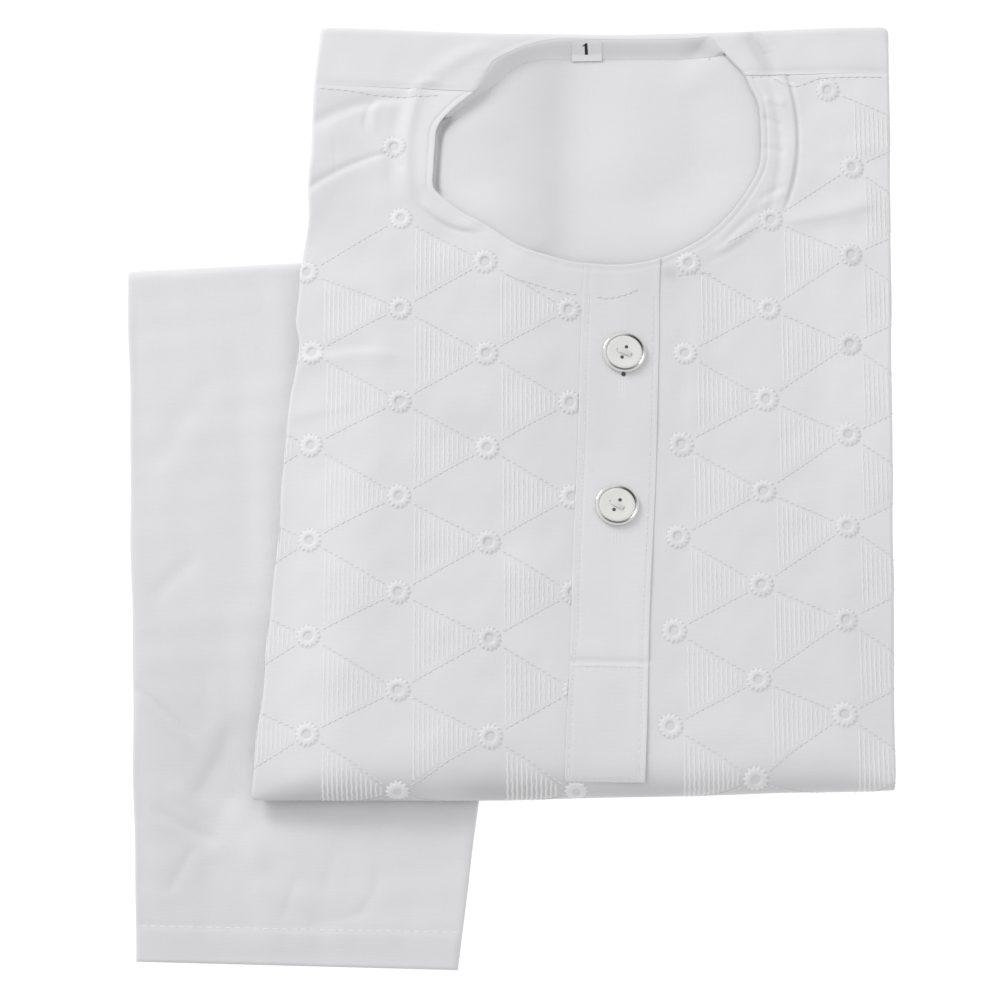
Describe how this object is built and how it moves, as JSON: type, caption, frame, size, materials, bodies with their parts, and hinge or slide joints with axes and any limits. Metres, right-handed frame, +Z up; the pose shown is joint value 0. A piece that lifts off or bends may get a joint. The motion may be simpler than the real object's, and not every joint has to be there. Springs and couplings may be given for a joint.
{
  "type": "folded child's shalwar kameez",
  "caption": "Child's white cotton kameez with an embroidered front, round neck and buttoned placket, folded flat on its folded straight-leg shalwar.",
  "frame": {"origin": "on the surface the set lies on, under the middle of its box", "axes": "+X to the right across the chest as seen from above, +Y from the lower fold to the shoulders, +Z up from the surface"},
  "size_m": [0.2615, 0.323, 0.0195],
  "materials": {
    "white_cotton": "thin plain-woven white cotton, matt",
    "embroidery": "white satin-stitched thread, slightly glossy",
    "button": "pearly polished plastic",
    "button_rim": "bright silver rim",
    "label": "smooth white label tape"
  },
  "bodies": {
    "root": {"kameez_front": "white_cotton", "kameez_back": "white_cotton", "kameez_folds": "white_cotton", "kameez_sleeve_left": "white_cotton", "kameez_sleeve_right": "white_cotton", "neck_facing": "white_cotton", "placket": "white_cotton", "button_1": "button", "button_2": "button", "size_label": "label", "shalwar_leg_left": "white_cotton", "shalwar_leg_right": "white_cotton", "shalwar_waistband": "white_cotton", "shalwar_folds": "white_cotton"}
  },
  "joints": []
}
